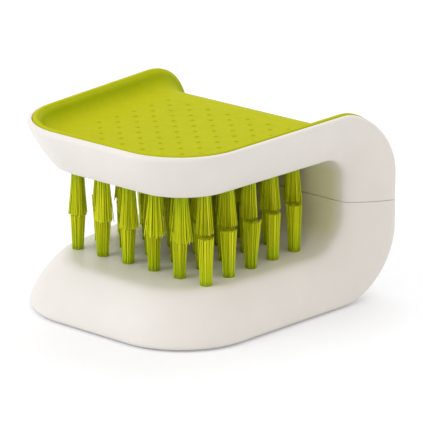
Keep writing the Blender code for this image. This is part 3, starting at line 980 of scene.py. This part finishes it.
@dataclass(frozen=True)
class ThumbGrip:
    """The soft pad: a rolled bead, a steep dished side and a level floor with rows of pips."""

    tray: Tray = Tray()
    edge: float = 1.68
    bead: float = 1.6
    proud: float = 0.4
    bead_foot: float = 0.05
    thickness: float = 1.4
    flank: tuple[float, float] = (0.5, 0.2)
    crease: float = 0.12
    crease_width: float = 0.1
    roll_radius: float = 2.0
    roll_from: float = 20.0
    steepest: float = 76.0
    bead_steps: int = 12
    roll_steps: int = 8
    level_steps: int = 16
    pip_radius: float = 0.74
    pip_height: float = 0.28
    pip_sunk: float = 0.02
    pip_rise: tuple[float, ...] = (0.0, 0.0, 0.35, 0.7, 0.93, 1.0)
    pip_size: tuple[float, ...] = (0.0, 1.0, 0.96, 0.74, 0.38, 0.0)
    pip_across: float = 8.2
    pip_along: float = 4.045
    pip_back_y: float = 18.2
    pip_rows: int = 12
    pip_columns: int = 9
    pip_half: float = 26.0
    pip_corner: float = 40.5
    pip_sides: int = 12
    # Painted shade round each pip: how far out it reaches, the height where it begins, and how it fades up
    # the pip.
    pip_shade_reach: float = 1.1
    pip_shade_rise: float = 0.02
    pip_shade_fade: float = 0.6
    # Depths over which the side's painted shade gives way to the rubbed floor's colour.
    wear_shade_from: float = 2.2
    wear_shade_to: float = 5.5

    def profile(self) -> Array:
        """The top surface in profile: a bead crowned by a power curve, then a side made of two arcs.

        The first arc rolls over from its slope at the crease to the steepest slope, and the second turns
        back to level with the radius that brings it to the floor's depth.

        Returns:
            Insets and depths, from the bottom of the outer edge to the floor.
        """
        crown = np.linspace(0, 1, self.bead_steps + 1)
        rise = (self.proud + self.bead_foot) * (1 - np.abs(2 * crown - 1) ** 3)
        first, steepest = math.radians(self.roll_from), math.radians(self.steepest)
        roll = np.linspace(first, steepest, self.roll_steps + 1)
        level = np.linspace(steepest, 0, self.level_steps + 1)[1:]
        roll_start = self.edge + self.bead + self.crease_width
        roll_in = roll_start + self.roll_radius * (np.sin(roll) - math.sin(first))
        roll_down = self.crease + self.roll_radius * (math.cos(first) - np.cos(roll))
        radius = (self.tray.fall - self.proud - roll_down[-1]) / (1 - math.cos(steepest))
        level_in = roll_in[-1] + radius * (math.sin(steepest) - np.sin(level))
        level_down = roll_down[-1] + radius * (np.cos(level) - math.cos(steepest))
        flank = np.array([self.thickness, *self.flank])
        bead_in = self.edge + self.bead * crown
        insets = np.concatenate([np.full_like(flank, self.edge), bead_in, roll_in, level_in])
        depths = np.concatenate([flank, self.bead_foot - rise, roll_down, level_down])
        return np.stack([insets, depths], axis=1)

    def mesh(self) -> Mesh:
        """Build the pad and its pips.

        Returns:
            The mesh, with the values that its finish reads.
        """
        lengths = self.tray.side_lengths(self.tray.arm.wall())
        builder = PieceBuilder()
        top = self.tray.rings(self.profile(), lengths)
        rim, fillet = self.tray.rim, self.tray.fillet
        under = self.tray.rings(self.tray.slope(rim, rim + fillet, self.thickness), lengths)
        builder.add_grid(np.concatenate([top[::-1], under]), round_rows=True)
        builder.add_grid(ring_fill(top[-1], self.tray.arm.steps.front))
        builder.add_grid(ring_fill(under[-1], self.tray.arm.steps.front))
        pips = self.pip_places()
        for x, y in pips:
            builder.add_grid(self.pip(x, y), round_rows=True)
        log.info("grip floor: %d pips", len(pips))
        mesh = builder.mesh("thumb_pad")
        self.mark(mesh, pips)
        return mesh

    def mark(self, mesh: Mesh, pips: Array) -> None:
        """Write each point's wear and painted light by its depth, and the painted shade round the foot of
        each pip.

        Args:
            mesh: The pad's mesh.
            pips: The pips' middles.
        """
        places = points_of(mesh)
        depth = self.tray.depth_of(places)
        wear_and_shade = np.clip((depth - self.wear_shade_from) / (self.wear_shade_to - self.wear_shade_from), 0, 1)
        away = np.linalg.norm(places[:, None, :2] - pips[None], axis=2).min(axis=1)
        over = np.clip((places[:, 2] - self.floor_z) / self.pip_height, 0, 1)
        near = (away < self.pip_shade_reach * self.pip_radius) & (over > self.pip_shade_rise)
        # Wear and painted light by depth: painted shade from the crease down the side, a painted highlight
        # on the bead's top.
        write(mesh, "wear_and_shade", np.maximum(wear_and_shade, np.clip(1 - depth / self.crease, 0, 1)))
        # Painted shade: darkest at each pip's foot, fading up its side.
        write(mesh, "relief", np.where(near, 1 - self.pip_shade_fade * over, 0))

    @property
    def floor_z(self) -> float:
        """The height of the pad's level floor."""
        return self.tray.arm.outer_z - self.tray.fall + self.proud

    def pip_places(self) -> Array:
        """The pips' middles: rows a fixed step apart, every other one shifted by half the step across.

        The rows are counted from the back, and a slanting line cuts them off at the front corners.

        Returns:
            One row of x and y for each pip.
        """
        row = np.arange(self.pip_rows)[:, None]
        column = np.arange(self.pip_columns)[None] - self.pip_columns // 2
        x = (column + 0.5 * (row % 2)) * self.pip_across
        y = self.pip_back_y - row * self.pip_along + 0 * x
        kept = (np.abs(x) < self.pip_half) & (np.abs(x) - y < self.pip_corner)
        return np.stack([x[kept], y[kept]], axis=1)

    def pip(self, x: float, y: float) -> Array:
        """One low dome: circles that shrink and rise as an ellipse does, on a closed bottom.

        Args:
            x: How far across its middle lies.
            y: How far back.

        Returns:
            A grid of points, one row for each circle.
        """
        angle = np.linspace(0, 2 * math.pi, self.pip_sides, endpoint=False)
        radius = np.array(self.pip_size)[:, None] * self.pip_radius
        rise = np.array(self.pip_rise)[:, None] * (self.pip_height + self.pip_sunk)
        height = np.repeat(self.floor_z - self.pip_sunk + rise, self.pip_sides, axis=1)
        return np.stack([x + radius * np.cos(angle), y + radius * np.sin(angle), height], axis=2)

    def build(self, rubber: SoftGrip) -> None:
        """Dress the grip in this rubber."""
        dress(self.mesh(), rubber.material("grip_rubber"), "thumb_grip")


@dataclass(frozen=True)
class BaseHollow:
    """The outline of the hollow under the base, which the cover closes."""

    arm: Arm = BASE_ARM
    inset: float = 8.0
    back_y: float = 22.9
    back_corner: float = 6.0
    deck_z: float = 10.4

    def ring(self, inset: float) -> Array:
        """The outline at an inset from the base's own, as x and y.

        Args:
            inset: How far it lies inside the base's outline.

        Returns:
            Two columns, from the left side's end round by the front and back.
        """
        arm, steps = self.arm, self.arm.steps
        turn = quarter_turn(steps.corner)
        radius = arm.corner - inset
        corner_y = arm.outer.front_y + inset + radius * (1 - np.cos(turn))
        corner_x = arm.outer.at(corner_y) - inset - radius * (1 - np.sin(turn))
        small = self.back_corner + self.inset - inset
        start = self.back_y + self.inset - inset - small
        side_y = np.linspace(corner_y[-1], start + small * MID_CORNER, steps.arm + 1)[1:]
        past = np.clip(side_y - start, 0, None)
        side_x = arm.outer.at(side_y) - inset - small + np.sqrt(small**2 - past**2)
        right_y = np.concatenate([corner_y, side_y])
        right_x = np.concatenate([corner_x, side_x])
        return close_outline(right_y, right_x, start, small, steps.front)[:, ::-1]

    def rings(self, profile: Array) -> Array:
        """Rings at the insets and heights of a profile.

        Args:
            profile: Insets and heights, one row for each ring.

        Returns:
            A grid of points, one row for each ring.
        """
        flat = np.stack([self.ring(inset) for inset in profile[:, 0]])
        height = np.broadcast_to(profile[:, 1, None, None], flat.shape[:2] + (1,))
        return np.concatenate([flat, height], axis=2)


@dataclass(frozen=True)
class LowerHalf:
    """The body's lower half: bed, wall, heel, underside and the hollow under the deck.

    The lip is the hollow's rounded edge, as steps outwards and up from where the edge ends.
    """

    hollow: BaseHollow = BaseHollow()
    lip: tuple[tuple[float, float], ...] = ((-0.25, 0.0), (-0.13, 0.03), (-0.04, 0.12), (0.0, 0.25))

    def mesh(self) -> Mesh:
        """Build the closed shell.

        Returns:
            The mesh, with the painted bristle shade that its finish reads.
        """
        arm, hollow = self.hollow.arm, self.hollow
        steps = arm.steps
        builder = PieceBuilder()
        outer = arm.shell(builder)[:, -1]
        behind = (len(outer) - steps.front - 1) // 2 - steps.corner - steps.arm
        builder.add_grid(across(outer[: behind + 1], outer[::-1][: behind + 1], steps.front))
        near = outer[behind : len(outer) - behind]
        heel = across(near[-1:], near[:1], steps.front)[0, 1:-1]
        edge = np.array(self.lip) + [hollow.inset, arm.outer_z]
        inner = hollow.rings(np.concatenate([edge, [[hollow.inset, hollow.deck_z]]]))
        builder.add_grid(np.concatenate([np.concatenate([near, heel])[None], inner]), round_rows=True)
        builder.add_grid(ring_fill(inner[-1], steps.front))
        mesh = builder.mesh("lower_shell")
        arm.paint_bristle_shade(mesh)
        return mesh

    def build(self, plastic: SatinPlastic) -> None:
        """Dress the lower body in this plastic."""
        dress(self.mesh(), plastic.material("lower_plastic"), "lower_body")


@dataclass(frozen=True)
class FootCover:
    """The plate under the base, with a rounded lower edge. Its underside is the face that it rests on."""

    hollow: BaseHollow = BaseHollow()
    clearance: float = 0.3
    thickness: float = 2.0
    edge_radius: float = 0.6
    edge_steps: int = 5

    def mesh(self) -> Mesh:
        """Build the plate: rings up its edge, closed by the underside and the inner face.

        Returns:
            The closed mesh.
        """
        inset = self.hollow.inset + self.clearance
        turn = quarter_turn(self.edge_steps)
        edge = np.stack([1 - np.sin(turn), 1 - np.cos(turn)], axis=1) * self.edge_radius + [inset, 0]
        rings = self.hollow.rings(np.concatenate([edge, [[inset, self.thickness]]]))
        builder = PieceBuilder()
        builder.add_grid(rings, round_rows=True)
        builder.add_grid(ring_fill(rings[0], self.hollow.arm.steps.front))
        builder.add_grid(ring_fill(rings[-1], self.hollow.arm.steps.front))
        return builder.mesh("foot_cover")

    def build(self, plastic: SatinPlastic) -> None:
        """Dress the base's cover in this plastic."""
        dress(self.mesh(), plastic.material("cover_plastic"), "base_cover")


# Bristles


@dataclass(frozen=True)
class Unevenness:
    """How much filaments differ: a single number is a standard deviation, and a pair is the two extremes."""

    turn: float = 0.05
    tip_size: tuple[float, float] = (0.88, 1.08)
    tip: float = 0.11
    lean: float = 0.14
    stray: tuple[float, float] = (0.4, 1.0)
    length: float = 0.1
    thickness: tuple[float, float] = (0.85, 1.12)
    tone: float = 0.22
    tuft_tone: float = 0.05


@dataclass(frozen=True)
class TuftField:
    """Rows of tufts on one arm. Filaments stand in a sunflower pattern and lean outwards to the tip."""

    side: Side
    label: str
    seat_z: float
    first_y: float
    rows: int
    columns: int
    length: float
    tip_radius: float
    splay: float
    stray_share: float
    stray_reach: float
    pitch: float = 10.5
    root_radius: float = 1.74
    filaments: int = 120
    thickness: float = 0.31
    taper: float = 0.06
    bend: float = 1.3
    stray_from: float = 0.6
    trim: float = 0.3
    trim_power: float = 1.5
    dome: float = 0.2
    sides: int = 5
    levels: int = 6
    sunk: float = 1.0
    sharp_degrees: float = 75.0
    vary: Unevenness = Unevenness()

    def centres(self, row: int) -> Array:
        """The tufts' middles in one row."""
        x = (np.arange(self.columns) - (self.columns - 1) / 2) * self.pitch
        return np.stack([x, np.full(self.columns, self.first_y + row * self.pitch)], axis=1)

    def row_mesh(self, row: int, chance: np.random.Generator) -> Mesh:
        """Build one row's filaments as slender tapering tubes with cut ends.

        The root of filament i lies at the root's radius times the square root of (i + 0.5) / n, turned by i
        golden angles. The same share, to a power, of the tip's radius gives its tip, so that the outer ones
        stand apart, and its line leaves the upright by a power of the share of its length. A few stray ones
        reach further out.

        Args:
            row: The row's number from the front, from 0.
            chance: Where the small differences between filaments come from.

        Returns:
            The row's mesh, with each filament's tone and each point's share of the length.
        """
        out, count, vary = -self.side.value, self.filaments, self.vary
        order = np.arange(count)
        golden = math.pi * (3 - math.sqrt(5))
        centres = self.centres(row)
        tufts = len(centres)
        radius = np.sqrt((order + 0.5) / count)[None].repeat(tufts, axis=0)
        angle = order[None] * golden + chance.uniform(0, 2 * math.pi, (tufts, 1))
        angle = angle + chance.normal(0, vary.turn, (tufts, count))
        away = np.stack([np.cos(angle), np.sin(angle)], axis=2)
        root = away * radius[:, :, None] * self.root_radius
        tip_size = self.tip_radius * chance.uniform(*vary.tip_size, (tufts, 1))
        tip = away * (radius**self.splay * tip_size)[:, :, None]
        tip = tip + chance.normal(0, vary.tip, (tufts, count, 2))
        tip = tip + chance.normal(0, vary.lean, (tufts, 1, 2))
        stray = chance.uniform(0, 1, (tufts, count)) < self.stray_share
        stray = stray & (radius > self.stray_from)
        reach = chance.uniform(*vary.stray, (tufts, count)) * self.stray_reach * stray
        tip = tip + away * reach[:, :, None]
        share = np.linspace(0, 1, self.levels)
        bend = np.where(stray, 1.0, self.bend)[:, :, None, None]
        line = root[:, :, None] + (tip - root)[:, :, None] * share[:, None] ** bend
        line = line + centres[:, None, None]
        trim = chance.uniform(0, 1, (tufts, count)) ** self.trim_power * self.trim
        length = self.length - trim - self.dome * radius**2 * ~stray
        length = length + chance.normal(0, vary.length, (tufts, 1))
        z = self.seat_z + out * (share * (length[:, :, None] + self.sunk) - self.sunk)
        ring = out * np.linspace(0, 2 * math.pi, self.sides, endpoint=False)
        thick = self.thickness / 2 * (1 - self.taper * share)
        thick = thick * chance.uniform(*vary.thickness, (tufts, count, 1))
        x = line[..., 0, None] + thick[..., None] * np.cos(ring)
        y = line[..., 1, None] + thick[..., None] * np.sin(ring)
        points = np.stack([x, y, np.broadcast_to(z[..., None], x.shape)], axis=-1)
        return self.tubes(f"{self.label}_bristles_{row + 1}", points, chance)

    def tubes(self, name: str, points: Array, chance: np.random.Generator) -> Mesh:
        """Join rings of points into closed tubes.

        Args:
            name: The mesh's name.
            points: Tufts by filaments by levels by sides by three.
            chance: Where each filament's tone comes from.

        Returns:
            The mesh.
        """
        tufts, count, levels, sides = points.shape[:4]
        index = np.arange(tufts * count * levels * sides).reshape(-1, levels, sides)
        ahead = np.roll(index, -1, axis=2)
        quads = np.stack([index[:, :-1], ahead[:, :-1], ahead[:, 1:], index[:, 1:]], axis=3).reshape(-1, 4)
        caps = np.concatenate([index[:, 0, ::-1], index[:, -1]])
        mesh = bpy.data.meshes.new(name)
        mesh.from_pydata((points.reshape(-1, 3) * MM).tolist(), [], quads.tolist() + caps.tolist())
        mesh.shade_smooth()
        mesh.set_sharp_from_angle(angle=math.radians(self.sharp_degrees))
        tuft_tone = chance.normal(0, self.vary.tuft_tone, (tufts, 1))
        tone = np.clip(chance.normal(0.5, self.vary.tone, (tufts, count)) + tuft_tone, 0, 1)
        write(mesh, "strand_tone", np.broadcast_to(tone.reshape(-1, 1, 1), index.shape).ravel())
        share = np.linspace(0, 1, levels)[None, :, None]
        write(mesh, "strand_reach", np.broadcast_to(share, index.shape).ravel())
        return mesh

    def build(self, nylon: Material, chance: np.random.Generator) -> None:
        """Dress the field row by row, from the front."""
        for row in range(self.rows):
            dress(self.row_mesh(row, chance), nylon, f"{self.label}_tuft_row_{row + 1}")


TUFT_FIELDS = (
    TuftField(
        side=Side.LOWER, label="lower", seat_z=15.9, first_y=-22.65, rows=5, columns=6, length=15.3,
        tip_radius=2.6, splay=1.6, stray_share=0.03, stray_reach=1.0,
    ),
    TuftField(
        side=Side.UPPER, label="upper", seat_z=45.8, first_y=-27.9, rows=6, columns=5, length=16.3,
        tip_radius=2.8, splay=1.15, stray_share=0.06, stray_reach=1.6,
    ),
)


# Screws


@dataclass(frozen=True)
class SpineScrews:
    """The two screws inside the spine. They keep their solids and take a finish."""

    solids: tuple[str, ...] = ("spine_screw_left", "spine_screw_right")

    def build(self, steel: Material) -> None:
        """Set each screw's finish.

        Args:
            steel: The finish.
        """
        for name in self.solids:
            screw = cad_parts[name]
            screw.data.materials.clear()
            screw.data.materials.append(steel)
            log.info("%s: finish set", name)


# Studio


def direction(azimuth: float, elevation: float) -> Vector:
    """From the object towards a place round it: azimuth 0 is in front, and 90 is on its right side."""
    a, e = math.radians(azimuth), math.radians(elevation)
    return Vector((math.sin(a) * math.cos(e), -math.cos(a) * math.cos(e), math.sin(e)))


@dataclass(frozen=True)
class Lamp:
    """A square soft lamp that faces the brush: its place in degrees, its side's length and its power."""

    name: str
    azimuth: float
    elevation: float
    size: float
    watts: float
    far: float = 900.0
    height: float = 30.0
    colour: tuple[float, float, float] = (0.96, 1.0, 1.1)

    def hang(self) -> None:
        """Add the lamp to the scene."""
        light = bpy.data.lights.new(self.name, "AREA")
        light.shape = "SQUARE"
        light.size = self.size * MM
        light.energy = self.watts
        light.color = self.colour
        lamp = place(self.name, light)
        way = direction(self.azimuth, self.elevation)
        lamp.location = Vector((0, 0, self.height * MM)) + way * self.far * MM
        lamp.rotation_euler = way.to_track_quat("Z", "Y").to_euler()


@dataclass(frozen=True)
class Studio:
    """A white table top, a faintly warm surround, three faintly cool lamps and the camera."""

    lamps: tuple[Lamp, ...] = (
        Lamp("key", azimuth=-25.0, elevation=38.0, size=500.0, watts=1.4),
        Lamp("front", azimuth=-40.0, elevation=10.0, size=500.0, watts=0.7),
        Lamp("back", azimuth=200.0, elevation=55.0, size=700.0, watts=1.6),
    )
    surround: float = 0.82
    warm: Colour = (1.0, 0.972, 0.945, 1.0)
    floor_half: float = 2500.0
    floor_points: int = 9
    floor_colour: Colour = (0.92, 0.93, 0.95, 1.0)
    floor_patch: float = 400.0
    floor_detail: float = 3.0
    floor_dim: float = 0.995
    floor_roughness: float = 0.9
    floor_lift: float = 0.15
    azimuth: float = 40.56
    elevation: float = 18.33
    distance: float = 983.7
    aim: tuple[float, float, float] = (10.4, -1.65, 30.5)
    lens: float = 272.34
    sensor: float = 36.0
    clip_start: float = 10.0
    clip_end: float = 20000.0

    def seen_rays(self, tree: bpy.types.NodeTree) -> Socket:
        """1 for rays that show the background: from the camera, off gloss or through a clear thing.

        Args:
            tree: Where the nodes are added.

        Returns:
            1 or 0 for each ray.
        """
        rays = add_node(tree, "LightPath")
        total = rays.outputs["Is Camera Ray"]
        for name in ("Is Glossy Ray", "Is Transmission Ray"):
            more = add_node(tree, "Math")
            more.operation = "MAXIMUM"
            tree.links.new(total, more.inputs[0])
            tree.links.new(rays.outputs[name], more.inputs[1])
            total = more.outputs["Value"]
        return total

    def floor(self) -> None:
        """Lay the table top, level everywhere and lifted a little towards white where it is seen."""
        share = np.linspace(-self.floor_half, self.floor_half, self.floor_points)
        x, y = np.meshgrid(share, share, indexing="ij")
        builder = PieceBuilder()
        builder.add_grid(np.stack([x, y, np.zeros_like(x)], axis=2))
        mesh = builder.mesh("table_top")
        top = place("table_top", mesh)
        bench = Bench("table_top")
        tree = bench.tree
        patches = bench.noise(self.floor_patch, self.floor_detail)
        dim = shade(self.floor_colour, self.floor_dim)
        bench.link(bench.mottle(patches, dim, self.floor_colour), "Base Color")
        bench.set("Roughness", self.floor_roughness)
        bench.set("Specular IOR Level", 0.0)
        lift = add_node(tree, "Math")
        lift.operation = "MULTIPLY"
        lift.inputs[1].default_value = self.floor_lift
        tree.links.new(self.seen_rays(tree), lift.inputs[0])
        glow = add_node(tree, "Emission", Strength=lift.outputs["Value"])
        both = add_node(tree, "AddShader")
        tree.links.new(bench.shader.outputs["BSDF"], both.inputs[0])
        tree.links.new(glow.outputs["Emission"], both.inputs[1])
        tree.links.new(both.outputs["Shader"], tree.nodes["Material Output"].inputs["Surface"])
        mesh.materials.append(bench.material)

    def world(self) -> None:
        """Surround everything with even, faintly warm light, which is plain white where it is seen."""
        world = bpy.data.worlds.new("surround")
        bpy.context.scene.world = world
        world.use_nodes = True
        tree = world.node_tree
        tree.nodes.clear()
        lit = add_node(tree, "Background", Color=self.warm, Strength=self.surround)
        seen = add_node(tree, "Background", Color=WHITE)
        mix = add_node(tree, "MixShader", Fac=self.seen_rays(tree))
        tree.links.new(lit.outputs["Background"], mix.inputs[1])
        tree.links.new(seen.outputs["Background"], mix.inputs[2])
        add_node(tree, "OutputWorld", Surface=mix.outputs["Shader"])

    def camera(self) -> None:
        """Stand the camera where the photograph was taken from."""
        data = bpy.data.cameras.new("view")
        data.lens = self.lens
        data.sensor_width = self.sensor
        data.clip_start = self.clip_start * MM
        data.clip_end = self.clip_end * MM
        eye = place("view", data)
        way = direction(self.azimuth, self.elevation)
        eye.location = (Vector(self.aim) + way * self.distance) * MM
        eye.rotation_euler = way.to_track_quat("Z", "Y").to_euler()
        bpy.context.scene.camera = eye

    def build(self) -> None:
        """Set up the table, the light and the camera."""
        self.floor()
        self.world()
        for lamp in self.lamps:
            lamp.hang()
        self.camera()
        bpy.context.scene.view_settings.view_transform = "Standard"


def main() -> None:
    """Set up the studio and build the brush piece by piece."""
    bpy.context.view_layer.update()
    Studio().build()
    plastic = SatinPlastic()
    UpperHalf().build(plastic)
    LowerHalf().build(plastic)
    FootCover().build(plastic)
    ThumbGrip().build(SoftGrip())
    nylon = DyedNylon().material("bristle_nylon")
    chance = np.random.default_rng(SEED)
    for tufts in TUFT_FIELDS:
        tufts.build(nylon, chance)
    SpineScrews().build(PlatedSteel().material("screw_steel"))


if __name__ == "__main__":
    main()
